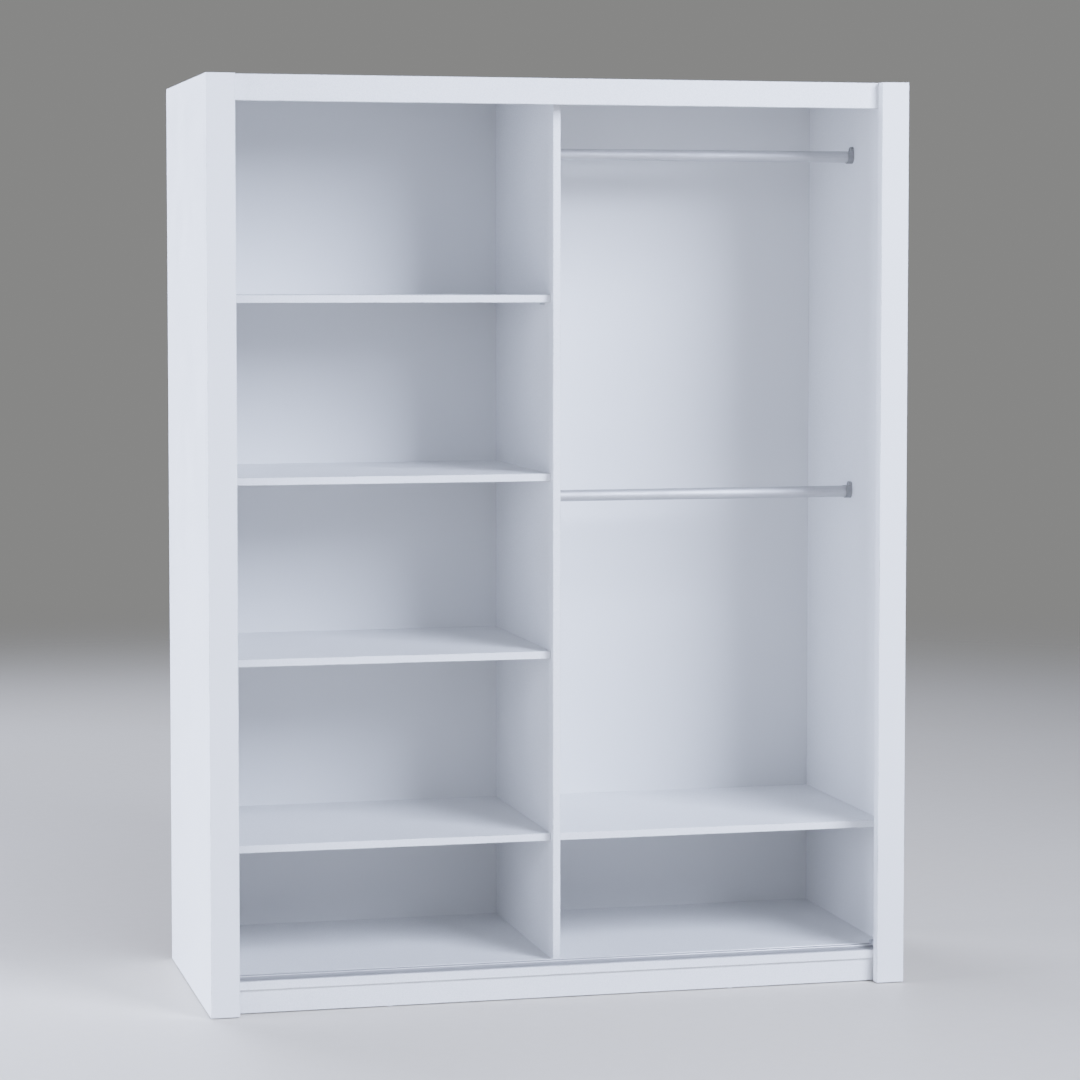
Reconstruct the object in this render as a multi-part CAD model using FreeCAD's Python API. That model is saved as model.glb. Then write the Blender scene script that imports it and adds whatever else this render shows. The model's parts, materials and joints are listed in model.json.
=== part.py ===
"""Two-bay wardrobe carcass for a pair of sliding doors, in white melamine-faced board.

X runs across the width, Y from the front (negative) to the back, and Z up. The origin is
the middle of the footprint, on the floor. All lengths are millimetres.

The left bay holds four shelves. The right bay holds two hanging rails and one shelf. Two
stiles stand in front of the side panels. The doors run between them: their upper edges in
a double channel behind the fascia, their wheels on a double track on the bottom panel.
"""

import FreeCAD, Part
import os

Vector = FreeCAD.Vector
RIGHTWARD = Vector(1, 0, 0)
BACKWARD = Vector(0, 1, 0)
UPWARD = Vector(0, 0, 1)

# Overall size.
WIDTH = 1500.0
DEPTH = 620.0
HEIGHT = 1930.0

# Boards.
BOARD = 16.0
BASE_BOARD = 18.0
BACK_BOARD = 3.0
BACK_BOARD_INSET = 2.0
EDGE_ROUND = 0.8
STILE_ROUND = 1.2

# Front frame, and how far the boards behind it stand back from the stiles' front faces.
STILE_WIDTH = 60.0
STILE_DEPTH = 25.0
FASCIA_HEIGHT = 54.0
DIVIDER_SETBACK = 82.0
SHELF_SETBACK = 104.0

# Heights above the floor.
FLOOR_TOP = 69.0
GLIDE_HEIGHT = 2.0
SHELF_UNDERSIDES = (1465.0, 1088.0, 711.0, 322.0)
FIXED_SHELF = 1
RIGHT_SHELF_UNDERSIDE = SHELF_UNDERSIDES[3]
SHELF_END_GAP = 0.5

# Plinth under the bottom panel.
PLINTH_SETBACK = 6.0
PLINTH_BACK_INSET = 16.0

# Door tracks. The lanes are the middle planes of the two door leaves.
LANE_FRONT = 51.5
LANE_PITCH = 19.0
CHANNEL_WALL = 1.2
CHANNEL_DEPTH = 34.0
FIN_ROUND = 0.45
LOWER_TRACK_SETBACK = 1.5
LOWER_TRACK_WIDTH = 53.5
LOWER_TRACK_WALL = 1.5
LOWER_TRACK_ROUND = 0.7
RIB_WIDTH = 3.0
RIB_HEIGHT = 5.0
RIB_ROOT = 1.0
RIB_ROUND = 1.3
STOP_LENGTH = 36.0
STOP_WIDTH = 12.0
STOP_HEIGHT = 11.0
STOP_ROUND = 1.5

# Hanging rails: a round steel tube dropped into a cup with an open top at each end.
RAIL_RADIUS = 12.5
RAIL_WALL = 1.0
RAIL_SETBACK = 320.0
RAIL_HEIGHTS = {"upper": 1784.0, "lower": 1042.0}
CUP_CLEARANCE = 0.3
CUP_WALL = 2.2
CUP_LENGTH = 10.0
FLANGE_THICKNESS = 3.0
FLANGE_RISE = 21.7
FLANGE_CORNER = 9.0
RAIL_END_GAP = 0.5
SOCKET_SCREW_RISES = (-5.0, 16.0)

# Cam fittings: a disc in the horizontal board pulls on a bolt screwed into the upright.
CAM_RADIUS = 7.5
CAM_DEPTH = 12.5
CAM_INSET = 34.0
CAM_GAP = 0.1
CAM_WEB = 3.6
CAM_RECESS_REACH = 4.0
CAM_RECESS_DEPTH = 1.6
BOLT_HOLE_RADIUS = 3.5
BOLT_THREAD_RADIUS = 2.5
BOLT_THREAD_LENGTH = 11.0
BOLT_SHANK_RADIUS = 3.0
BOLT_NECK_RADIUS = 2.0
BOLT_NECK_LENGTH = 5.0
BOLT_HEAD_LENGTH = 4.0
FITTING_Y = (-190.0, 240.0)
DOWEL_Y = (-120.0, 170.0)

# Wooden dowels.
DOWEL_RADIUS = 4.0
DOWEL_LENGTH = 30.0
DOWEL_IN_FACE = 11.0
DOWEL_CHAMFER = 0.8
STILE_DOWELS = (120.0, 1800.0, 420.0)
FASCIA_DOWELS = (-600.0, 600.0, 300.0)

# Shelf pins.
PIN_RADIUS = 2.5
PIN_IN_PANEL = 7.0
PIN_OUT = 9.0
PIN_Y = (-150.0, 250.0)

# Nails along the edges of the back boards.
NAIL_RADIUS = 0.75
NAIL_LENGTH = 18.0
NAIL_HEAD_RADIUS = 1.8
NAIL_HEAD = 0.7
NAIL_SPACING = 180.0
NAIL_END_MARGIN = 60.0
NAIL_MIDDLE_MARGIN = 90.0

# Screws: head radius, shank radius and length.
DIVIDER_SCREW = (5.0, 3.0, 50.0)
BLOCK_SCREW = (3.4, 1.9, 27.0)
LOWER_TRACK_SCREW = (3.5, 1.75, 14.0)
UPPER_TRACK_SCREW = (3.5, 1.75, 12.0)
SOCKET_SCREW = (3.6, 1.75, 15.0)

# Where rows of screws stand: single places, or the first, the last and the spacing.
DIVIDER_SCREW_Y = (-170.0, 40.0, 250.0)
LOWER_TRACK_SCREWS = (-650.0, 650.0, 260.0)
UPPER_TRACK_SCREWS = (-680.0, 680.0, 340.0)

# Blocks in the corners between the plinth and the bottom panel.
CORNER_BLOCK_X = (-520.0, -220.0, 220.0, 520.0)
CORNER_BLOCK_LENGTH = 36.0
CORNER_BLOCK_SIZE = 16.0
CORNER_BLOCK_ROUND = 1.5
BLOCK_SCREW_OFFSET = 9.0

# Glides under the boards that stand on the floor.
GLIDE_RADIUS = 7.0
GLIDE_CHAMFER = 0.6
GLIDE_NAIL_RADIUS = 1.2
GLIDE_NAIL_LENGTH = 12.0
SIDE_GLIDE_Y = (-230.0, 260.0)
CROSSPIECE_GLIDE_Y = (-150.0, 180.0)
PLINTH_GLIDE_X = (-370.0, 370.0)

# Places worked out from the sizes above.
FRONT = -DEPTH / 2
BACK = DEPTH / 2
SIDE = WIDTH / 2
INNER_SIDE = SIDE - BOARD
CARCASS_FRONT = FRONT + STILE_DEPTH
CARCASS_BACK = BACK - BACK_BOARD
FASCIA_BACK = CARCASS_FRONT + BOARD
FASCIA_BOTTOM = HEIGHT - FASCIA_HEIGHT
CEILING = HEIGHT - BOARD
BASE_UNDERSIDE = FLOOR_TOP - BASE_BOARD
DIVIDER_FRONT = FRONT + DIVIDER_SETBACK
SHELF_FRONT = FRONT + SHELF_SETBACK
HALF_BOARD = BOARD / 2
PLINTH_FRONT = CARCASS_FRONT + PLINTH_SETBACK
PLINTH_BACK = CARCASS_BACK - PLINTH_BACK_INSET
LANES = (FRONT + LANE_FRONT, FRONT + LANE_FRONT + LANE_PITCH)
RAIL_Y = FRONT + RAIL_SETBACK
BAY_WIDTH = INNER_SIDE - HALF_BOARD

boards = {}
cutters = {}
groups = {}


def block(low, high):
    """A box between two corners."""
    size = high - low
    return Part.makeBox(size.x, size.y, size.z, low)


def rod(start, direction, radius, length):
    """A round rod from a point, along a direction."""
    return Part.makeCylinder(radius, length, start, direction)


def edges_along(shape, axis, **places):
    """The straight edges that run along an axis, at the coordinates given by name."""
    found = []
    for edge in shape.Edges:
        box = edge.BoundBox
        spans = {"x": box.XLength, "y": box.YLength, "z": box.ZLength}
        others = [spans[name] for name in spans if name != axis]
        middle = edge.CenterOfMass
        placed = all(abs(getattr(middle, name) - at) < 0.01 for name, at in places.items())
        if max(others) < 0.01 and placed:
            found.append(edge)
    return found


def add_board(name, low, high, radius=0.0, rounded=()):
    """A board between two corners. Each entry of rounded picks edges to round off."""
    shape = block(Vector(*low), Vector(*high))
    picked = []
    for axis, places in rounded:
        picked += edges_along(shape, axis, **places)
    if picked:
        shape = shape.makeFillet(radius, picked)
    boards[name] = shape
    cutters[name] = []


def fasten(group, blank, into, finished=None):
    """Adds a fastener to its group and sinks its blank into the boards it holds."""
    groups.setdefault(group, []).append(finished or blank)
    for name in into:
        cutters[name].append(blank)


def mirrored(shape):
    """The same shape on the other side of the middle plane."""
    return shape.mirror(Vector(0, 0, 0), RIGHTWARD)


def cross_recess(face, outward, reach, depth):
    """The cross-shaped driver recess in a screw head or cam."""
    bar = 0.28 * reach
    arms = []
    for along, across in ((reach, bar), (bar, reach)):
        arm = Part.makeBox(2 * along, 2 * across, 2 * depth, Vector(-along, -across, -depth))
        arms.append(arm)
    cross = arms[0].fuse(arms[1])
    cross.Placement = FreeCAD.Placement(face, FreeCAD.Rotation(UPWARD, outward))
    return cross


def countersunk_screw(face, inward, head_radius, shank_radius, length):
    """A screw with its flat head flush with a face. Returns its blank and the screw."""
    head_depth = head_radius - shank_radius
    head = Part.makeCone(head_radius, shank_radius, head_depth, face, inward)
    shank = rod(face + inward * head_depth, inward, shank_radius, length - head_depth)
    blank = head.fuse(shank)
    return blank, blank.cut(cross_recess(face, -inward, 0.55 * head_radius, 1.2))


def pan_screw(face, inward, head_radius, shank_radius, length):
    """A screw whose domed head stands on a face. Returns its blank and the screw."""
    head_height = 0.55 * head_radius
    head = rod(face - inward * head_height, inward, head_radius, head_height)
    top = [e for e in head.Edges if e.CenterOfMass.distanceToPoint(face) > head_height / 2]
    round_edges = [e for e in top if isinstance(e.Curve, Part.Circle)]
    head = head.makeFillet(0.6 * head_height, round_edges)
    blank = rod(face, inward, shank_radius, length)
    recess = cross_recess(face - inward * head_height, -inward, 0.5 * head_radius, 1.0)
    return blank, head.fuse(blank).cut(recess)


def dowel(joint, direction, in_face, group, into):
    """A dowel across a joint, with in_face of its length on the near side of it."""
    peg = rod(joint - direction * in_face, direction, DOWEL_RADIUS, DOWEL_LENGTH)
    rims = [e for e in peg.Edges if isinstance(e.Curve, Part.Circle)]
    fasten(group, peg.makeChamfer(DOWEL_CHAMFER, rims), into)


def cam_fitting(joint, inward, outward, half_thickness, board, panel):
    """A cam in one face of a board and its bolt in the panel that the board meets."""
    centre = joint + inward * CAM_INSET
    face = centre + outward * half_thickness
    cutters[board].append(rod(face, -outward, CAM_RADIUS, CAM_DEPTH))
    cutters[board].append(rod(joint, inward, BOLT_HOLE_RADIUS, CAM_INSET))

    top = face - outward * CAM_GAP
    disc = rod(top, -outward, CAM_RADIUS - CAM_GAP, CAM_DEPTH - CAM_GAP)
    slot_start = centre + inward * CAM_WEB
    disc = disc.cut(rod(slot_start, -inward, BOLT_HOLE_RADIUS, CAM_RADIUS + CAM_WEB))
    disc = disc.cut(cross_recess(top, outward, CAM_RECESS_REACH, CAM_RECESS_DEPTH))
    groups.setdefault("cam_locks", []).append(disc)

    thread_end = joint - inward * BOLT_THREAD_LENGTH
    thread = rod(thread_end, inward, BOLT_THREAD_RADIUS, BOLT_THREAD_LENGTH)
    head_start = CAM_INSET - BOLT_HEAD_LENGTH / 2
    neck_start = head_start - BOLT_NECK_LENGTH
    shank = rod(joint, inward, BOLT_SHANK_RADIUS, neck_start)
    neck = rod(joint + inward * neck_start, inward, BOLT_NECK_RADIUS, BOLT_NECK_LENGTH)
    head = rod(joint + inward * head_start, inward, BOLT_SHANK_RADIUS, BOLT_HEAD_LENGTH)
    bolt = thread.fuse([shank, neck, head])
    groups.setdefault("cam_bolts", []).append(bolt)
    cutters[panel].append(thread)


def spaced(low, high, spacing):
    """Evenly spaced places from low to high, no further apart than the spacing."""
    steps = int((high - low) / spacing) + 1
    return [low + (high - low) * step / steps for step in range(steps + 1)]


def make_uprights():
    """Side panels with the stiles in front of them, and the divider between the bays."""
    for name, side in (("left", -1), ("right", 1)):
        near, far = sorted((side * INNER_SIDE, side * SIDE))
        add_board(
            f"side_panel_{name}",
            (near, CARCASS_FRONT, GLIDE_HEIGHT),
            (far, CARCASS_BACK, HEIGHT),
            EDGE_ROUND,
            [("z", {"x": side * SIDE, "y": CARCASS_BACK}), ("y", {"x": side * SIDE, "z": HEIGHT})],
        )
        near, far = sorted((side * (SIDE - STILE_WIDTH), side * SIDE))
        add_board(
            f"stile_{name}",
            (near, FRONT, GLIDE_HEIGHT),
            (far, CARCASS_FRONT, HEIGHT),
            STILE_ROUND,
            [("z", {"y": FRONT}), ("z", {"x": side * (SIDE - STILE_WIDTH)})],
        )
        for height in spaced(*STILE_DOWELS):
            joint = Vector(side * (SIDE - HALF_BOARD), CARCASS_FRONT, height)
            into = [f"stile_{name}", f"side_panel_{name}"]
            dowel(joint, BACKWARD, DOWEL_IN_FACE, "stile_dowels", into)
    add_board(
        "divider",
        (-HALF_BOARD, DIVIDER_FRONT, FLOOR_TOP),
        (HALF_BOARD, CARCASS_BACK, CEILING),
        EDGE_ROUND,
        [("z", {"y": DIVIDER_FRONT})],
    )


def make_top_and_bottom():
    """The top panel with its fascia, and the bottom panel on its plinth."""
    add_board(
        "top_panel",
        (-INNER_SIDE, FASCIA_BACK, CEILING),
        (INNER_SIDE, CARCASS_BACK, HEIGHT),
    )
    add_board(
        "top_fascia",
        (-INNER_SIDE, CARCASS_FRONT, FASCIA_BOTTOM),
        (INNER_SIDE, FASCIA_BACK, HEIGHT),
        EDGE_ROUND,
        [("x", {"z": FASCIA_BOTTOM}), ("x", {"y": CARCASS_FRONT, "z": HEIGHT})],
    )
    add_board(
        "bottom_panel",
        (-INNER_SIDE, CARCASS_FRONT, BASE_UNDERSIDE),
        (INNER_SIDE, CARCASS_BACK, FLOOR_TOP),
        EDGE_ROUND,
        [("x", {"y": CARCASS_FRONT})],
    )
    add_board(
        "plinth_front",
        (-INNER_SIDE, PLINTH_FRONT, GLIDE_HEIGHT),
        (INNER_SIDE, PLINTH_FRONT + BOARD, BASE_UNDERSIDE),
        EDGE_ROUND,
        [("x", {"z": GLIDE_HEIGHT})],
    )
    add_board(
        "plinth_back",
        (-INNER_SIDE, PLINTH_BACK - BOARD, GLIDE_HEIGHT),
        (INNER_SIDE, PLINTH_BACK, BASE_UNDERSIDE),
        EDGE_ROUND,
        [("x", {"z": GLIDE_HEIGHT})],
    )
    add_board(
        "plinth_crosspiece",
        (-HALF_BOARD, PLINTH_FRONT + BOARD, GLIDE_HEIGHT),
        (HALF_BOARD, PLINTH_BACK - BOARD, BASE_UNDERSIDE),
    )


def make_shelves():
    """Four shelves in the left bay and one in the right. One of the left ones is fixed."""
    spans = {}
    for number, underside in enumerate(SHELF_UNDERSIDES):
        gap = 0.0 if number == FIXED_SHELF else SHELF_END_GAP
        spans[f"shelf_left_{number + 1}"] = (-INNER_SIDE + gap, -HALF_BOARD - gap, underside)
    right_end = INNER_SIDE - SHELF_END_GAP
    spans["shelf_right"] = (HALF_BOARD + SHELF_END_GAP, right_end, RIGHT_SHELF_UNDERSIDE)
    for name, (left, right, underside) in spans.items():
        add_board(
            name,
            (left, SHELF_FRONT, underside),
            (right, CARCASS_BACK, underside + BOARD),
            EDGE_ROUND,
            [("x", {"y": SHELF_FRONT})],
        )
        if name == f"shelf_left_{FIXED_SHELF + 1}":
            continue
        on_left = "side_panel_left" if left < -HALF_BOARD else "divider"
        on_right = "divider" if left < -HALF_BOARD else "side_panel_right"
        for y in PIN_Y:
            height = underside - PIN_RADIUS
            length = PIN_IN_PANEL + PIN_OUT
            left_face = Vector(left - SHELF_END_GAP, y, height)
            right_face = Vector(right + SHELF_END_GAP, y, height)
            left_pin = rod(left_face - RIGHTWARD * PIN_IN_PANEL, RIGHTWARD, PIN_RADIUS, length)
            right_pin = rod(right_face + RIGHTWARD * PIN_IN_PANEL, -RIGHTWARD, PIN_RADIUS, length)
            fasten("shelf_pins", left_pin, [on_left])
            fasten("shelf_pins", right_pin, [on_right])


def make_backs():
    """Two thin back boards, nailed to the carcass and meeting behind the divider."""
    low, high = BASE_UNDERSIDE + 1.0, HEIGHT - BACK_BOARD_INSET
    edge = SIDE - BACK_BOARD_INSET
    for name, side in (("left", -1), ("right", 1)):
        near, far = sorted((0.0, side * edge))
        panel = f"back_panel_{name}"
        add_board(panel, (near, CARCASS_BACK, low), (far, BACK, high))
        lowest, highest = FLOOR_TOP + NAIL_END_MARGIN, CEILING - NAIL_END_MARGIN
        upright_nails = spaced(lowest, highest, NAIL_SPACING)
        first, last = side * NAIL_MIDDLE_MARGIN, side * (INNER_SIDE - NAIL_END_MARGIN)
        across_nails = spaced(first, last, NAIL_SPACING)
        places = [(side * (INNER_SIDE + HALF_BOARD), z, f"side_panel_{name}") for z in upright_nails]
        places += [(side * HALF_BOARD / 2, z, "divider") for z in upright_nails]
        places += [(x, CEILING + HALF_BOARD, "top_panel") for x in across_nails]
        places += [(x, FLOOR_TOP - BASE_BOARD / 2, "bottom_panel") for x in across_nails]
        for x, z, holder in places:
            face = Vector(x, BACK, z)
            head = rod(face, -BACKWARD, NAIL_HEAD_RADIUS, NAIL_HEAD)
            nail = head.fuse(rod(face, -BACKWARD, NAIL_RADIUS, NAIL_LENGTH))
            fasten("back_nails", nail, [panel, holder])


def make_board_fittings():
    """Cams, bolts, dowels and screws that hold the carcass boards together."""
    base_middle = FLOOR_TOP - BASE_BOARD / 2
    top_middle = CEILING + HALF_BOARD
    shelf = f"shelf_left_{FIXED_SHELF + 1}"
    shelf_middle = SHELF_UNDERSIDES[FIXED_SHELF] + HALF_BOARD
    ends = (("left", -1), ("right", 1))
    joints = []
    for name, side in ends:
        panel = f"side_panel_{name}"
        inward = RIGHTWARD * -side
        end = side * INNER_SIDE
        joints.append((end, top_middle, inward, UPWARD, HALF_BOARD, "top_panel", panel))
        joints.append((end, base_middle, inward, -UPWARD, BASE_BOARD / 2, "bottom_panel", panel))
    left, right = -INNER_SIDE, -HALF_BOARD
    joints.append((left, shelf_middle, RIGHTWARD, -UPWARD, HALF_BOARD, shelf, "side_panel_left"))
    joints.append((right, shelf_middle, -RIGHTWARD, -UPWARD, HALF_BOARD, shelf, "divider"))
    for end, height, inward, outward, half, board, panel in joints:
        for y in FITTING_Y:
            cam_fitting(Vector(end, y, height), inward, outward, half, board, panel)
        for y in DOWEL_Y:
            joint = Vector(end, y, height)
            dowel(joint, inward, DOWEL_IN_FACE, "board_dowels", [panel, board])

    for y in DIVIDER_SCREW_Y:
        for height, direction, panel in (
            (HEIGHT, -UPWARD, "top_panel"),
            (BASE_UNDERSIDE, UPWARD, "bottom_panel"),
        ):
            face = Vector(0, y, height)
            blank, screw = countersunk_screw(face, direction, *DIVIDER_SCREW)
            fasten("divider_screws", blank, [panel, "divider"], screw)

    for x in spaced(*FASCIA_DOWELS):
        joint = Vector(x, FASCIA_BACK, top_middle)
        dowel(joint, BACKWARD, DOWEL_IN_FACE, "fascia_dowels", ["top_fascia", "top_panel"])


def make_plinth_fittings():
    """Dowels at the plinth's ends, and blocks that screw it to the bottom panel."""
    height = (GLIDE_HEIGHT + BASE_UNDERSIDE) / 2
    front_middle = PLINTH_FRONT + HALF_BOARD
    back_middle = PLINTH_BACK - HALF_BOARD
    for name, side in (("left", -1), ("right", 1)):
        for plinth, y in (("plinth_front", front_middle), ("plinth_back", back_middle)):
            joint = Vector(side * INNER_SIDE, y, height)
            into = [f"side_panel_{name}", plinth]
            dowel(joint, RIGHTWARD * -side, DOWEL_IN_FACE, "plinth_dowels", into)
    front_joint = Vector(0, PLINTH_FRONT + BOARD, height)
    back_joint = Vector(0, PLINTH_BACK - BOARD, height)
    front_into = ["plinth_front", "plinth_crosspiece"]
    back_into = ["plinth_back", "plinth_crosspiece"]
    dowel(front_joint, BACKWARD, DOWEL_IN_FACE, "plinth_dowels", front_into)
    dowel(back_joint, -BACKWARD, DOWEL_IN_FACE, "plinth_dowels", back_into)

    size = CORNER_BLOCK_SIZE
    bottom = BASE_UNDERSIDE - size
    rows = (
        (PLINTH_FRONT + BOARD, 1, "plinth_front"),
        (PLINTH_BACK - BOARD, -1, "plinth_back"),
    )
    blocks = []
    for x in CORNER_BLOCK_X:
        for face, away, plinth in rows:
            free_face = face + away * size
            near, far = sorted((face, free_face))
            left, right = x - CORNER_BLOCK_LENGTH / 2, x + CORNER_BLOCK_LENGTH / 2
            body = block(Vector(left, near, bottom), Vector(right, far, BASE_UNDERSIDE))
            free_edge = edges_along(body, "x", y=free_face, z=bottom)
            body = body.makeFillet(CORNER_BLOCK_ROUND, free_edge)
            under = Vector(x - BLOCK_SCREW_OFFSET, face + away * size / 2, bottom)
            behind = Vector(x + BLOCK_SCREW_OFFSET, free_face, BASE_UNDERSIDE - size / 2)
            for start, direction, holder in (
                (under, UPWARD, "bottom_panel"),
                (behind, BACKWARD * -away, plinth),
            ):
                blank, screw = pan_screw(start, direction, *BLOCK_SCREW)
                fasten("corner_block_screws", blank, [holder], screw)
                body = body.cut(blank)
            blocks.append(body)
    groups["corner_blocks"] = blocks


def make_glides():
    """Plastic glides nailed under the boards that carry the wardrobe."""
    panel_x = SIDE - HALF_BOARD
    places = [(-panel_x, y, "side_panel_left") for y in SIDE_GLIDE_Y]
    places += [(panel_x, y, "side_panel_right") for y in SIDE_GLIDE_Y]
    places += [(0.0, y, "plinth_crosspiece") for y in CROSSPIECE_GLIDE_Y]
    places += [(x, PLINTH_FRONT + HALF_BOARD, "plinth_front") for x in PLINTH_GLIDE_X]
    places += [(x, PLINTH_BACK - HALF_BOARD, "plinth_back") for x in PLINTH_GLIDE_X]
    for x, y, board in places:
        foot = rod(Vector(x, y, 0), UPWARD, GLIDE_RADIUS, GLIDE_HEIGHT)
        circles = [e for e in foot.Edges if isinstance(e.Curve, Part.Circle)]
        rim = [e for e in circles if e.CenterOfMass.z < GLIDE_HEIGHT / 2]
        foot = foot.makeChamfer(GLIDE_CHAMFER, rim)
        top = Vector(x, y, GLIDE_HEIGHT)
        shank = rod(top, UPWARD, GLIDE_NAIL_RADIUS, GLIDE_NAIL_LENGTH)
        fasten("floor_glides", shank, [board], foot.fuse(shank))


def make_tracks():
    """The channel that guides the doors' upper edges and the track under their wheels."""
    middle = sum(LANES) / 2
    fins = [middle + LANE_PITCH * step for step in (-1, 0, 1)]
    web_low = CEILING - CHANNEL_WALL
    half = CHANNEL_WALL / 2
    channel = block(
        Vector(-INNER_SIDE, fins[0] - half, web_low),
        Vector(INNER_SIDE, fins[2] + half, CEILING),
    )
    fin_low = CEILING - CHANNEL_DEPTH
    for y in fins:
        fin = block(Vector(-INNER_SIDE, y - half, fin_low), Vector(INNER_SIDE, y + half, CEILING))
        fin = fin.makeFillet(FIN_ROUND, edges_along(fin, "x", z=fin_low))
        channel = channel.fuse(fin)
    channel = channel.removeSplitter()

    base_front = CARCASS_FRONT + LOWER_TRACK_SETBACK
    base_top = FLOOR_TOP + LOWER_TRACK_WALL
    track = block(
        Vector(-INNER_SIDE, base_front, FLOOR_TOP),
        Vector(INNER_SIDE, base_front + LOWER_TRACK_WIDTH, base_top),
    )
    track = track.makeFillet(LOWER_TRACK_ROUND, edges_along(track, "x", z=base_top))
    rib_top = base_top + RIB_HEIGHT
    for y in LANES:
        rib_low = Vector(-INNER_SIDE, y - RIB_WIDTH / 2, base_top - RIB_ROOT)
        rib_high = Vector(INNER_SIDE, y + RIB_WIDTH / 2, rib_top)
        rib = block(rib_low, rib_high)
        rib = rib.makeFillet(RIB_ROUND, edges_along(rib, "x", z=rib_top))
        track = track.fuse(rib)
    track = track.removeSplitter()

    stops = []
    for side in (-1, 1):
        for y in LANES:
            near, far = sorted((side * (INNER_SIDE - STOP_LENGTH), side * INNER_SIDE))
            stop_top = base_top + STOP_HEIGHT
            stop = block(
                Vector(near, y - STOP_WIDTH / 2, base_top),
                Vector(far, y + STOP_WIDTH / 2, stop_top),
            )
            stop = stop.makeFillet(STOP_ROUND, edges_along(stop, "x", z=stop_top))
            stops.append(stop.cut(track))
    groups["track_stops"] = stops

    for x in spaced(*LOWER_TRACK_SCREWS):
        floor_face = Vector(x, middle, base_top)
        blank, screw = pan_screw(floor_face, -UPWARD, *LOWER_TRACK_SCREW)
        fasten("lower_track_screws", blank, ["bottom_panel"], screw)
        track = track.cut(blank)
    for x in spaced(*UPPER_TRACK_SCREWS):
        for lane in LANES:
            web_face = Vector(x, lane, web_low)
            blank, screw = pan_screw(web_face, UPWARD, *UPPER_TRACK_SCREW)
            fasten("upper_track_screws", blank, ["top_panel"], screw)
            channel = channel.cut(blank)
    groups["upper_door_track"] = [channel]
    groups["lower_door_track"] = [track]


def rail_socket(height):
    """The right-hand face of the divider gets this socket: a flange with an open cup."""
    outer = RAIL_RADIUS + CUP_CLEARANCE + CUP_WALL
    inner = RAIL_RADIUS + CUP_CLEARANCE
    start = Vector(HALF_BOARD, RAIL_Y, height)
    reach = FLANGE_THICKNESS + CUP_LENGTH

    flange_low = start + Vector(0, -outer, 0)
    flange_high = start + Vector(FLANGE_THICKNESS, outer, FLANGE_RISE)
    upper = block(flange_low, flange_high)
    upper = upper.makeFillet(FLANGE_CORNER, edges_along(upper, "x", z=height + FLANGE_RISE))
    flange = rod(start, RIGHTWARD, outer, FLANGE_THICKNESS).fuse(upper)

    cup = rod(start, RIGHTWARD, outer, reach)
    cup = cup.fuse(block(start + Vector(0, -outer, 0), start + Vector(reach, outer, RAIL_RADIUS)))
    mouth = start + RIGHTWARD * FLANGE_THICKNESS
    cup = cup.cut(rod(mouth, RIGHTWARD, inner, CUP_LENGTH))
    opening_low = mouth + Vector(0, -inner, 0)
    opening_high = mouth + Vector(CUP_LENGTH, inner, outer + CUP_WALL)
    cup = cup.cut(block(opening_low, opening_high))
    return flange.fuse(cup).removeSplitter()


def make_rails():
    """Two hanging rails, each lying in a socket on the divider and one on the side panel."""
    shift = RIGHTWARD * (HALF_BOARD + INNER_SIDE)
    for level, height in RAIL_HEIGHTS.items():
        left = rail_socket(height)
        right = mirrored(left)
        right.translate(shift)
        sockets = {"left": left, "right": right}
        holders = {"left": ("divider", HALF_BOARD, -1), "right": ("side_panel_right", INNER_SIDE, 1)}
        for name, (holder, face, side) in holders.items():
            direction = RIGHTWARD * side
            for rise in SOCKET_SCREW_RISES:
                head = Vector(face - side * FLANGE_THICKNESS, RAIL_Y, height + rise)
                blank, screw = countersunk_screw(head, direction, *SOCKET_SCREW)
                fasten("socket_screws", blank, [holder], screw)
                sockets[name] = sockets[name].cut(blank)
            groups[f"socket_{level}_{name}"] = [sockets[name]]

        margin = FLANGE_THICKNESS + RAIL_END_GAP
        start = Vector(HALF_BOARD + margin, RAIL_Y, height)
        length = BAY_WIDTH - 2 * margin
        tube = rod(start, RIGHTWARD, RAIL_RADIUS, length)
        tube = tube.cut(rod(start, RIGHTWARD, RAIL_RADIUS - RAIL_WALL, length))
        groups[f"hanging_rail_{level}"] = [tube]


def write_parts():
    """Drills the boards and writes one file per node."""
    os.makedirs("parts", exist_ok=True)
    for name, shape in boards.items():
        if cutters[name]:
            shape = shape.cut(cutters[name])
        shape = shape.Solids[0] if len(shape.Solids) == 1 else shape
        shape.exportStep(f"parts/{name}.step")
    for name, pieces in groups.items():
        solids = [solid for piece in pieces for solid in piece.Solids]
        shape = solids[0] if len(solids) == 1 else Part.makeCompound(solids)
        shape.exportStep(f"parts/{name}.step")


make_uprights()
make_top_and_bottom()
make_shelves()
make_backs()
make_board_fittings()
make_plinth_fittings()
make_glides()
make_tracks()
make_rails()
write_parts()
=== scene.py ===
"""Looks for the two-bay wardrobe carcass: finishes, floor, soft studio light and camera."""

import json
import math

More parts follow.
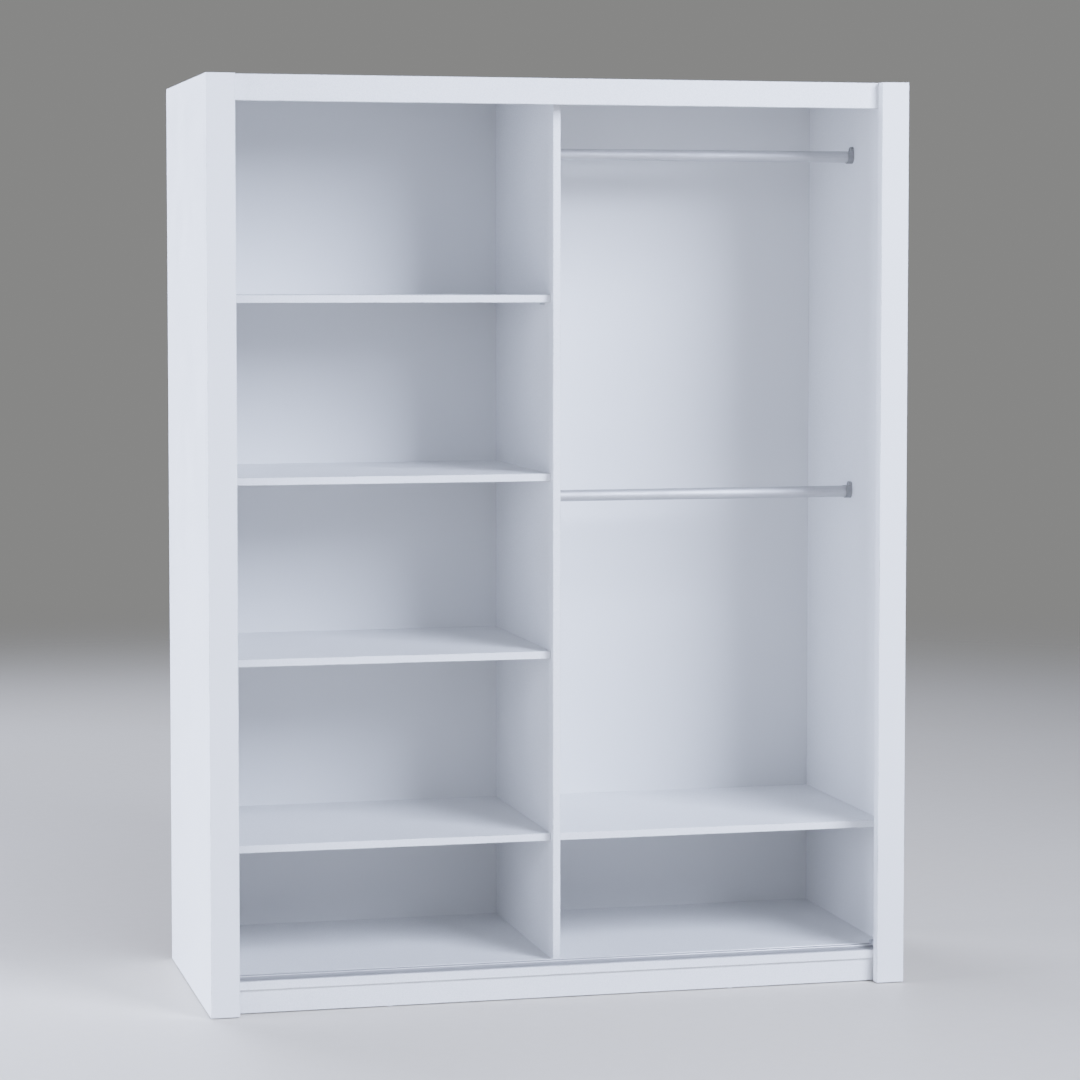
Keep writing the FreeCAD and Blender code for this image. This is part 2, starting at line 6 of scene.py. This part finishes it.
import bpy
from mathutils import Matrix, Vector


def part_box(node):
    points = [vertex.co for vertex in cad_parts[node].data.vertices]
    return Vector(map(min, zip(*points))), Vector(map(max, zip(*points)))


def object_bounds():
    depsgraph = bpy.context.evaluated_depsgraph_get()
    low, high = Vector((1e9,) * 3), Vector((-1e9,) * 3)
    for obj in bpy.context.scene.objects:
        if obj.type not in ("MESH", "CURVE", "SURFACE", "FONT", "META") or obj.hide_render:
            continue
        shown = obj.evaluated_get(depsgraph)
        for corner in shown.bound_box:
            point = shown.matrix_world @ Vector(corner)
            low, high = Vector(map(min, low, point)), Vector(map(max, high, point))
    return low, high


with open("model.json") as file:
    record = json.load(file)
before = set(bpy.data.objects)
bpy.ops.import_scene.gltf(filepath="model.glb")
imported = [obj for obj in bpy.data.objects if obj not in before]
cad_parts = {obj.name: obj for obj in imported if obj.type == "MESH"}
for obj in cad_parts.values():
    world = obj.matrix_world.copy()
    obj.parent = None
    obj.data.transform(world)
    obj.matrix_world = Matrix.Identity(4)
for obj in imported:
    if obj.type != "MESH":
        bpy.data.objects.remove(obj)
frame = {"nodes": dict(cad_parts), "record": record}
cad_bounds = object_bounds()

MM = 0.001

# Camera, in the row's frame: metres, degrees and millimetres of lens.
CAMERA_PLACE = (-1.679, -6.930, 1.517)
CAMERA_YAW = 13.77
CAMERA_PITCH = 3.44
CAMERA_LENS = 109.53
CAMERA_SENSOR = 36.0
CAMERA_SHIFT_Y = -0.06
CAMERA_REACH = 200.0

# Colours, as linear light.
WHITE_BOARD = (0.842, 0.847, 0.847)
WHITE_BOARD_COOL = (0.824, 0.831, 0.834)
WHITE_LACQUER = (0.763, 0.769, 0.771)
WHITE_LACQUER_COOL = (0.745, 0.753, 0.757)
HARDBOARD = (0.235, 0.140, 0.078)
HARDBOARD_DARK = (0.150, 0.086, 0.046)
HARDBOARD_GAP = (0.035, 0.022, 0.014)
BOARD_FLECK = (0.64, 0.648, 0.658)
WORN_BOARD = (0.36, 0.352, 0.335)
SEAM_SHADE = (0.45, 0.46, 0.48)
# The wheel track: bright crowns, partly wheel polish and partly painted highlight, over two tones
# of painted shade below them.
WHEEL_TRACK_POLISH_AND_HIGHLIGHT = (0.95, 0.95, 0.95)
WHEEL_TRACK_PALE_SHADE = (0.41, 0.41, 0.415)
WHEEL_TRACK_DEEP_SHADE = (0.33, 0.33, 0.335)
TRACK_ALUMINIUM = (0.70, 0.71, 0.73)
RAIL_METAL = (0.63, 0.63, 0.635)
SOCKET_METAL = (0.345, 0.345, 0.345)
ZINC_STEEL = (0.62, 0.63, 0.64)
CAM_ZINC = (0.45, 0.46, 0.48)
BEECH = (0.60, 0.40, 0.22)
BEECH_FLECK = (0.42, 0.25, 0.12)
WHITE_PLASTIC = (0.74, 0.74, 0.75)
GREY_PLASTIC = (0.45, 0.46, 0.48)
FLOOR_COLOUR = (0.655, 0.615, 0.550)
FLOOR_COLOUR_WARM = (0.640, 0.595, 0.525)
SURROUND_COLOUR = (1.0, 1.0, 0.98)
SOFTBOX_COLOUR = (0.885, 1.0, 1.30)

# Softboxes, all aimed at the middle of the wardrobe: azimuth from the front towards the
# right and elevation in degrees, distance and side in metres, power in watts.
SOFTBOXES = {
    "left_side": (-88, 3, 6.0, 2.2, 490.0),
    "left_low": (-60, 3, 6.0, 2.2, 75.0),
    "left_front": (-30, 18, 6.0, 2.2, 50.0),
    "right_front": (30, 26, 6.0, 2.6, 560.0),
    "rear": (205, 35, 6.0, 3.0, 260.0),
}

# Strength of the surround, near the horizon and overhead.
SURROUND_LOW = 0.21
SURROUND_HIGH = 0.08

# The floor: its side, and how far from the wardrobe it starts and ends its fade, in metres.
FLOOR_SIZE = 60.0
FLOOR_FADE = (3.5, 9.0)

# Lines and wear on the boards. The wheel track has bright crowns, partly wheel polish and partly
# painted highlight, above painted shade.
EDGE_BAND = 0.8 * MM
SEAM_HALF_WIDTH = 0.15 * MM
BOARD_GAP_HALF_WIDTH = 0.7 * MM
HALF_BACK_BOARD = 1.5 * MM
WEAR_REACH = 1.6 * MM
CROWN_POLISH_AND_HIGHLIGHT_DEPTH = 1.6 * MM
SCUFF_DEPTH = 0.8 * MM

# Size of each texture, as features to the metre: one number, or one for each axis.
FLECK_GRAIN = 700.0
PEARL_GRAIN = 620.0
FACE_WAVE = 28.0
WEAR_RUNS = 11.0
WEAR_NICKS = 260.0
HARDBOARD_FIBRES = (330.0, 330.0, 120.0)
EXTRUDED_LINES = (6.0, 2600.0, 2600.0)
DRAWN_LINES = (14.0, 1800.0, 1800.0)
WHEEL_SCUFFS = (9.0, 240.0, 240.0)
BEECH_GRAIN = (160.0, 900.0, 900.0)
PLATED_GRAIN = 1400.0
CAST_GRAIN = 900.0
MOULD_GRAIN = 2200.0

# Height of each bump.
PEARL_HEIGHT = 0.09 * MM
WAVE_HEIGHT = 0.05 * MM
FIBRE_HEIGHT = 0.03 * MM
LINE_HEIGHT = 0.006 * MM
PIT_HEIGHT = 0.01 * MM
MOULD_HEIGHT = 0.015 * MM

# What the shader is told of a white board, and of the lacquer on the back board.
BOARD_SHADER = {"IOR": 1.45, "Specular IOR Level": 0.35}


def node(tree, kind, inputs=None, **settings):
    """A shader node, with its settings and its inputs given as values or sockets."""
    made = tree.nodes.new(kind)
    for name, value in settings.items():
        setattr(made, name, value)
    for name, value in (inputs or {}).items():
        if isinstance(value, bpy.types.NodeSocket):
            tree.links.new(value, made.inputs[name])
        else:
            made.inputs[name].default_value = value
    return made


def rgba(colour):
    return (*colour, 1.0)


def new_finish(name, shader_inputs):
    """An empty material with a shader. Returns the material, its tree, shader and coordinates."""
    material = bpy.data.materials.new(name)
    material.use_nodes = True
    tree = material.node_tree
    tree.nodes.clear()
    shader = node(tree, "ShaderNodeBsdfPrincipled", shader_inputs)
    node(tree, "ShaderNodeOutputMaterial", {"Surface": shader.outputs["BSDF"]})
    place = node(tree, "ShaderNodeTexCoord").outputs["Object"]
    return material, tree, shader, place


def noise(tree, place, scale, detail=2.0, roughness=0.5):
    """Smooth noise from 0 to 1, with scale features to the metre."""
    inputs = {"Vector": place, "Scale": scale, "Detail": detail, "Roughness": roughness}
    return node(tree, "ShaderNodeTexNoise", inputs).outputs["Fac"]


def stretched(tree, place, scale):
    """The coordinates scaled apart, so that a texture runs along one axis."""
    made = node(tree, "ShaderNodeMapping", {"Vector": place})
    made.inputs["Scale"].default_value = scale
    return made.outputs["Vector"]


def ramp(tree, factor, low, high, from_low=0.3, from_high=0.7):
    """A value taken from one range to another."""
    inputs = {"Value": factor, "From Min": from_low, "From Max": from_high}
    inputs.update({"To Min": low, "To Max": high})
    return node(tree, "ShaderNodeMapRange", inputs).outputs["Result"]


def mixed(tree, factor, first, second):
    """Two colours mixed by a factor."""
    made = node(tree, "ShaderNodeMix", {"Factor": factor}, data_type="RGBA")
    for socket, colour in ((6, first), (7, second)):
        if isinstance(colour, bpy.types.NodeSocket):
            tree.links.new(colour, made.inputs[socket])
        else:
            made.inputs[socket].default_value = rgba(colour)
    return made.outputs[2]


def maths(tree, operation, first, second=0.0):
    """One arithmetic step."""
    made = node(tree, "ShaderNodeMath", {0: first, 1: second}, operation=operation)
    return made.outputs["Value"]


def bump(tree, height, distance, strength=1.0, below=None):
    """A bump of a real height in metres, on top of another bump."""
    inputs = {"Height": height, "Distance": distance, "Strength": strength}
    if below is not None:
        inputs["Normal"] = below
    return node(tree, "ShaderNodeBump", inputs).outputs["Normal"]


def seam_mask(tree, place, axis, at, half_width=SEAM_HALF_WIDTH):
    """1 on a thin line where two boards, or a board and its edge band, meet. 0 elsewhere."""
    split = node(tree, "ShaderNodeSeparateXYZ", {"Vector": place})
    away = maths(tree, "ABSOLUTE", maths(tree, "SUBTRACT", split.outputs[axis], at))
    return maths(tree, "LESS_THAN", away, half_width)


def edge_wear(tree, place, box):
    """1 where the edges of a box-shaped board have been knocked and rubbed, in uneven runs."""
    split = node(tree, "ShaderNodeSeparateXYZ", {"Vector": place})
    near = []
    for axis in range(3):
        below = maths(tree, "SUBTRACT", split.outputs[axis], box[0][axis])
        above = maths(tree, "SUBTRACT", box[1][axis], split.outputs[axis])
        inset = maths(tree, "MINIMUM", below, above)
        near.append(ramp(tree, inset, 1.0, 0.0, 0.3 * WEAR_REACH, WEAR_REACH))
    edge = 0.0
    for first, second in ((0, 1), (1, 2), (0, 2)):
        edge = maths(tree, "MAXIMUM", maths(tree, "MULTIPLY", near[first], near[second]), edge)
    runs = ramp(tree, noise(tree, place, WEAR_RUNS, 5.0, 0.65), 0.15, 1.0, 0.42, 0.60)
    nicks = ramp(tree, noise(tree, place, WEAR_NICKS, 3.0, 0.6), 0.3, 1.0, 0.40, 0.62)
    return maths(tree, "MULTIPLY", edge, maths(tree, "MULTIPLY", runs, nicks))


def melamine(name, box, seams=()):
    """White melamine-faced board: pearl-grained and satin, with seams and worn edges."""
    material, tree, shader, place = new_finish(name, BOARD_SHADER)
    tone = ramp(tree, noise(tree, place, 2.3, 3.0), 0.0, 1.0)
    colour = mixed(tree, tone, WHITE_BOARD, WHITE_BOARD_COOL)
    fleck = ramp(tree, noise(tree, place, FLECK_GRAIN, 3.0, 0.7), 0.0, 0.6, 0.42, 0.62)
    colour = mixed(tree, fleck, colour, BOARD_FLECK)
    for axis, at in seams:
        mask = seam_mask(tree, place, axis, at)
        colour = mixed(tree, maths(tree, "MULTIPLY", mask, 0.45), colour, SEAM_SHADE)
    wear = edge_wear(tree, place, box)
    colour = mixed(tree, maths(tree, "MULTIPLY", wear, 0.85), colour, WORN_BOARD)
    tree.links.new(colour, shader.inputs["Base Color"])

    handled = ramp(tree, noise(tree, place, 9.0, 4.0, 0.6), -0.06, 0.07)
    grain = ramp(tree, noise(tree, place, FLECK_GRAIN, 2.0), 0.44, 0.52)
    satin = maths(tree, "ADD", handled, grain)
    rubbed = maths(tree, "MULTIPLY", wear, -0.12)
    tree.links.new(maths(tree, "ADD", satin, rubbed), shader.inputs["Roughness"])

    pearl = bump(tree, noise(tree, place, PEARL_GRAIN, 3.0, 0.6), PEARL_HEIGHT)
    wave = bump(tree, noise(tree, place, FACE_WAVE, 1.0), WAVE_HEIGHT, 0.5, pearl)
    tree.links.new(wave, shader.inputs["Normal"])
    return material


def back_board(name, middle):
    """Thin hardboard: white in front of the middle of its thickness, bare brown behind it."""
    material, tree, shader, place = new_finish(name, BOARD_SHADER)
    tone = ramp(tree, noise(tree, place, 3.1, 3.0), 0.0, 1.0)
    white = mixed(tree, tone, WHITE_LACQUER, WHITE_LACQUER_COOL)

    fibres = stretched(tree, place, HARDBOARD_FIBRES)
    fibre = ramp(tree, noise(tree, fibres, 1.0, 6.0, 0.7), 0.0, 1.0, 0.35, 0.65)
    cloud = ramp(tree, noise(tree, place, 6.0, 4.0), 0.0, 0.5)
    brown = mixed(tree, fibre, HARDBOARD, HARDBOARD_DARK)
    brown = mixed(tree, cloud, brown, HARDBOARD)
    meeting = seam_mask(tree, place, "X", 0.0, BOARD_GAP_HALF_WIDTH)
    brown = mixed(tree, maths(tree, "MULTIPLY", meeting, 0.8), brown, HARDBOARD_GAP)

    split = node(tree, "ShaderNodeSeparateXYZ", {"Vector": place})
    rear = maths(tree, "GREATER_THAN", split.outputs["Y"], middle)
    tree.links.new(mixed(tree, rear, white, brown), shader.inputs["Base Color"])

    smooth = ramp(tree, noise(tree, place, 40.0, 3.0), 0.46, 0.56)
    rough = ramp(tree, noise(tree, place, 60.0, 3.0), 0.55, 0.72)
    rougher = maths(tree, "MULTIPLY", rear, maths(tree, "SUBTRACT", rough, smooth))
    tree.links.new(maths(tree, "ADD", smooth, rougher), shader.inputs["Roughness"])
    grain = bump(tree, noise(tree, fibres, 1.0, 5.0, 0.65), FIBRE_HEIGHT, 0.6)
    tree.links.new(grain, shader.inputs["Normal"])
    return material


def drawn_metal(name, colour, roughness, lines):
    """Metal with fine lines along its length, as drawing or extruding leaves them."""
    material, tree, shader, place = new_finish(name, {"Metallic": 1.0})
    streak = noise(tree, stretched(tree, place, lines), 1.0, 3.0, 0.6)
    darker = tuple(0.86 * part for part in colour)
    tone = ramp(tree, streak, 0.0, 1.0)
    tree.links.new(mixed(tree, tone, colour, darker), shader.inputs["Base Color"])
    smudge = ramp(tree, noise(tree, place, 22.0, 4.0, 0.6), -0.04, 0.05)
    drawn = ramp(tree, streak, roughness - 0.06, roughness + 0.06)
    tree.links.new(maths(tree, "ADD", drawn, smudge), shader.inputs["Roughness"])
    tree.links.new(bump(tree, streak, LINE_HEIGHT, 0.7), shader.inputs["Normal"])
    return material


def wheel_track(name, crown):
    """Aluminium with painted shade: dark between the ribs and below their crowns. It is bright on
    the crowns, partly rubbed by the wheels and partly painted highlight.
    """
    material, tree, shader, place = new_finish(name, {"Metallic": 0.35, "IOR": 1.5})
    streak = noise(tree, stretched(tree, place, EXTRUDED_LINES), 1.0, 3.0, 0.6)
    scuffs = noise(tree, stretched(tree, place, WHEEL_SCUFFS), 1.0, 4.0, 0.6)
    split = node(tree, "ShaderNodeSeparateXYZ", {"Vector": place})
    edge = maths(tree, "ADD", split.outputs["Z"], maths(tree, "MULTIPLY", scuffs, SCUFF_DEPTH))
    # Painted highlight and polish: 1 on the top of each rib, 0 lower down, where the painted shade
    # goes.
    polish_and_highlight = ramp(tree, edge, 0.0, 1.0, crown - CROWN_POLISH_AND_HIGHLIGHT_DEPTH, crown - 0.5 * CROWN_POLISH_AND_HIGHLIGHT_DEPTH)
    # Painted shade between and below the ribs, and a bright colour on the crowns, partly polish
    # and partly painted highlight.
    painted_shade = mixed(tree, ramp(tree, streak, 0.0, 1.0), WHEEL_TRACK_PALE_SHADE, WHEEL_TRACK_DEEP_SHADE)
    lit_crown = mixed(tree, ramp(tree, streak, 0.0, 1.0), WHEEL_TRACK_POLISH_AND_HIGHLIGHT, WHEEL_TRACK_PALE_SHADE)
    tree.links.new(mixed(tree, polish_and_highlight, painted_shade, lit_crown), shader.inputs["Base Color"])
    satin = ramp(tree, streak, 0.44, 0.56)
    rubbed = maths(tree, "MULTIPLY", polish_and_highlight, -0.14)
    tree.links.new(maths(tree, "ADD", satin, rubbed), shader.inputs["Roughness"])
    tree.links.new(bump(tree, streak, LINE_HEIGHT, 0.7), shader.inputs["Normal"])
    return material


def cast_metal(name, colour, roughness, pits):
    """Die-cast or plated metal with a fine pitted grain."""
    material, tree, shader, place = new_finish(name, {"Metallic": 0.9})
    grain = noise(tree, place, pits, 3.0, 0.6)
    tint = ramp(tree, noise(tree, place, 120.0, 3.0), 0.0, 1.0)
    darker = tuple(0.8 * part for part in colour)
    tree.links.new(mixed(tree, tint, colour, darker), shader.inputs["Base Color"])
    satin = ramp(tree, grain, roughness - 0.05, roughness + 0.08)
    tree.links.new(satin, shader.inputs["Roughness"])
    tree.links.new(bump(tree, grain, PIT_HEIGHT, 0.8), shader.inputs["Normal"])
    return material


def moulded_plastic(name, colour, roughness):
    """Injection-moulded plastic with a spark-eroded grain."""
    material, tree, shader, place = new_finish(name, {"IOR": 1.49})
    grain = noise(tree, place, MOULD_GRAIN, 2.0)
    darker = tuple(0.88 * part for part in colour)
    tint = ramp(tree, noise(tree, place, 60.0, 3.0), 0.0, 1.0)
    tree.links.new(mixed(tree, tint, colour, darker), shader.inputs["Base Color"])
    satin = ramp(tree, grain, roughness - 0.06, roughness + 0.08)
    tree.links.new(satin, shader.inputs["Roughness"])
    tree.links.new(bump(tree, grain, MOULD_HEIGHT, 0.8), shader.inputs["Normal"])
    return material


def beech(name):
    """Beech with its short dark flecks, for the dowels."""
    material, tree, shader, place = new_finish(name, {"IOR": 1.5})
    fleck = noise(tree, stretched(tree, place, BEECH_GRAIN), 1.0, 4.0, 0.6)
    colour = mixed(tree, ramp(tree, fleck, 0.0, 1.0, 0.4, 0.65), BEECH, BEECH_FLECK)
    tree.links.new(colour, shader.inputs["Base Color"])
    tree.links.new(ramp(tree, fleck, 0.5, 0.68), shader.inputs["Roughness"])
    tree.links.new(bump(tree, fleck, FIBRE_HEIGHT, 0.6), shader.inputs["Normal"])
    return material


def dress(name, material):
    """Puts a finish on every material slot of a CAD node."""
    slots = frame["nodes"][name].material_slots
    for slot in slots:
        slot.material = material
    if not slots:
        frame["nodes"][name].data.materials.append(material)


def board_seams():
    """Where each board's edge band meets its faces: axis and coordinate, by node."""
    seams = {}
    for name in frame["nodes"]:
        shelf = name.startswith("shelf_") and name != "shelf_pins"
        if shelf or name in ("divider", "bottom_panel"):
            seams[name] = [("Y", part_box(name)[0].y + EDGE_BAND)]
    seams["top_fascia"] = [("Z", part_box("top_fascia")[0].z + EDGE_BAND)]
    for name in ("stile_left", "stile_right"):
        low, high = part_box(name)
        seams[name] = [("Z", high.z - EDGE_BAND), ("Z", low.z + EDGE_BAND), ("Y", high.y)]
    for name in ("side_panel_left", "side_panel_right"):
        seams[name] = [("Z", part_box(name)[1].z - EDGE_BAND)]
    return seams


def dress_all():
    """Gives every CAD node its finish."""
    seams = board_seams()
    slot_of = {part["node"]: part["material_slot"] for part in frame["record"]["subparts"]}
    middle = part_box("back_panel_left")[0].y + HALF_BACK_BOARD
    shared = {
        "back_board": back_board("back_board", middle),
        "track_aluminium": drawn_metal("track_aluminium", TRACK_ALUMINIUM, 0.34, EXTRUDED_LINES),
        "rail_metal": drawn_metal("rail_metal", RAIL_METAL, 0.62, DRAWN_LINES),
        "socket_metal": cast_metal("socket_metal", SOCKET_METAL, 0.42, PLATED_GRAIN),
        "zinc_steel": cast_metal("zinc_steel", ZINC_STEEL, 0.3, PLATED_GRAIN),
        "cam_zinc": cast_metal("cam_zinc", CAM_ZINC, 0.42, CAST_GRAIN),
        "dowel_beech": beech("dowel_beech"),
        "white_plastic": moulded_plastic("white_plastic", WHITE_PLASTIC, 0.42),
        "grey_plastic": moulded_plastic("grey_plastic", GREY_PLASTIC, 0.5),
    }
    wheel_way = wheel_track("wheel_way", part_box("lower_door_track")[1].z)
    for name in sorted(frame["nodes"]):
        slot = slot_of[name]
        if name == "lower_door_track":
            dress(name, wheel_way)
        elif slot == "white_melamine":
            dress(name, melamine(f"white_melamine_{name}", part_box(name), seams.get(name, ())))
        else:
            dress(name, shared[slot])


def add_floor():
    """A wide pale floor with a faint cloudy tone, which fades into the surround far away."""
    bpy.ops.mesh.primitive_plane_add(size=FLOOR_SIZE, location=(0, 0, cad_bounds[0].z))
    floor = bpy.context.object
    floor.name = "studio_floor"
    material, tree, shader, place = new_finish("studio_floor", {"IOR": 1.45})
    tone = ramp(tree, noise(tree, place, 0.8, 4.0), 0.0, 1.0)
    tree.links.new(mixed(tree, tone, FLOOR_COLOUR, FLOOR_COLOUR_WARM), shader.inputs["Base Color"])
    tree.links.new(ramp(tree, noise(tree, place, 30.0, 3.0), 0.5, 0.6), shader.inputs["Roughness"])

    away = node(tree, "ShaderNodeVectorMath", {0: place}, operation="LENGTH").outputs["Value"]
    fade_inputs = {"Value": away, "From Min": FLOOR_FADE[0], "From Max": FLOOR_FADE[1]}
    fade = node(tree, "ShaderNodeMapRange", fade_inputs, interpolation_type="SMOOTHERSTEP")
    clear = node(tree, "ShaderNodeBsdfTransparent")
    blend_inputs = {0: fade.outputs["Result"], 1: shader.outputs["BSDF"], 2: clear.outputs["BSDF"]}
    blend = node(tree, "ShaderNodeMixShader", blend_inputs)
    output = next(n for n in tree.nodes if n.type == "OUTPUT_MATERIAL")
    tree.links.new(blend.outputs["Shader"], output.inputs["Surface"])
    floor.data.materials.append(material)


def add_softbox(name, azimuth, elevation, distance, side, power):
    """A square soft light that points at the middle of the wardrobe."""
    turn, rise = math.radians(azimuth), math.radians(elevation)
    flat = math.cos(rise)
    outward = Vector((math.sin(turn) * flat, -math.cos(turn) * flat, math.sin(rise)))
    data = bpy.data.lights.new(name, "AREA")
    data.shape = "SQUARE"
    data.size = side
    data.energy = power
    data.color = SOFTBOX_COLOUR
    light = bpy.data.objects.new(name, data)
    light.location = (cad_bounds[0] + cad_bounds[1]) / 2 + outward * distance
    light.rotation_euler = (-outward).to_track_quat("-Z", "Y").to_euler()
    light.visible_camera = False
    bpy.context.scene.collection.objects.link(light)


def add_surround():
    """An even grey surround, a little darker overhead."""
    world = bpy.data.worlds.new("studio")
    bpy.context.scene.world = world
    world.use_nodes = True
    tree = world.node_tree
    direction = node(tree, "ShaderNodeTexCoord").outputs["Generated"]
    height = node(tree, "ShaderNodeSeparateXYZ", {"Vector": direction}).outputs["Z"]
    strength = ramp(tree, height, SURROUND_LOW, SURROUND_HIGH, 0.25, 0.75)
    background = tree.nodes["Background"]
    background.inputs["Color"].default_value = rgba(SURROUND_COLOUR)
    tree.links.new(strength, background.inputs["Strength"])


def add_camera():
    """The viewpoint: standing to the left of the wardrobe, looking slightly down."""
    data = bpy.data.cameras.new("camera")
    data.sensor_width = CAMERA_SENSOR
    data.lens = CAMERA_LENS
    data.shift_y = CAMERA_SHIFT_Y
    data.clip_end = CAMERA_REACH
    camera = bpy.data.objects.new("camera", data)
    camera.location = CAMERA_PLACE
    camera.rotation_euler = (math.radians(90.0 - CAMERA_PITCH), 0.0, math.radians(-CAMERA_YAW))
    bpy.context.scene.collection.objects.link(camera)
    bpy.context.scene.camera = camera


bpy.context.scene.view_settings.view_transform = "Filmic"
add_camera()
dress_all()
add_floor()
for softbox, setting in SOFTBOXES.items():
    add_softbox(softbox, *setting)
add_surround()
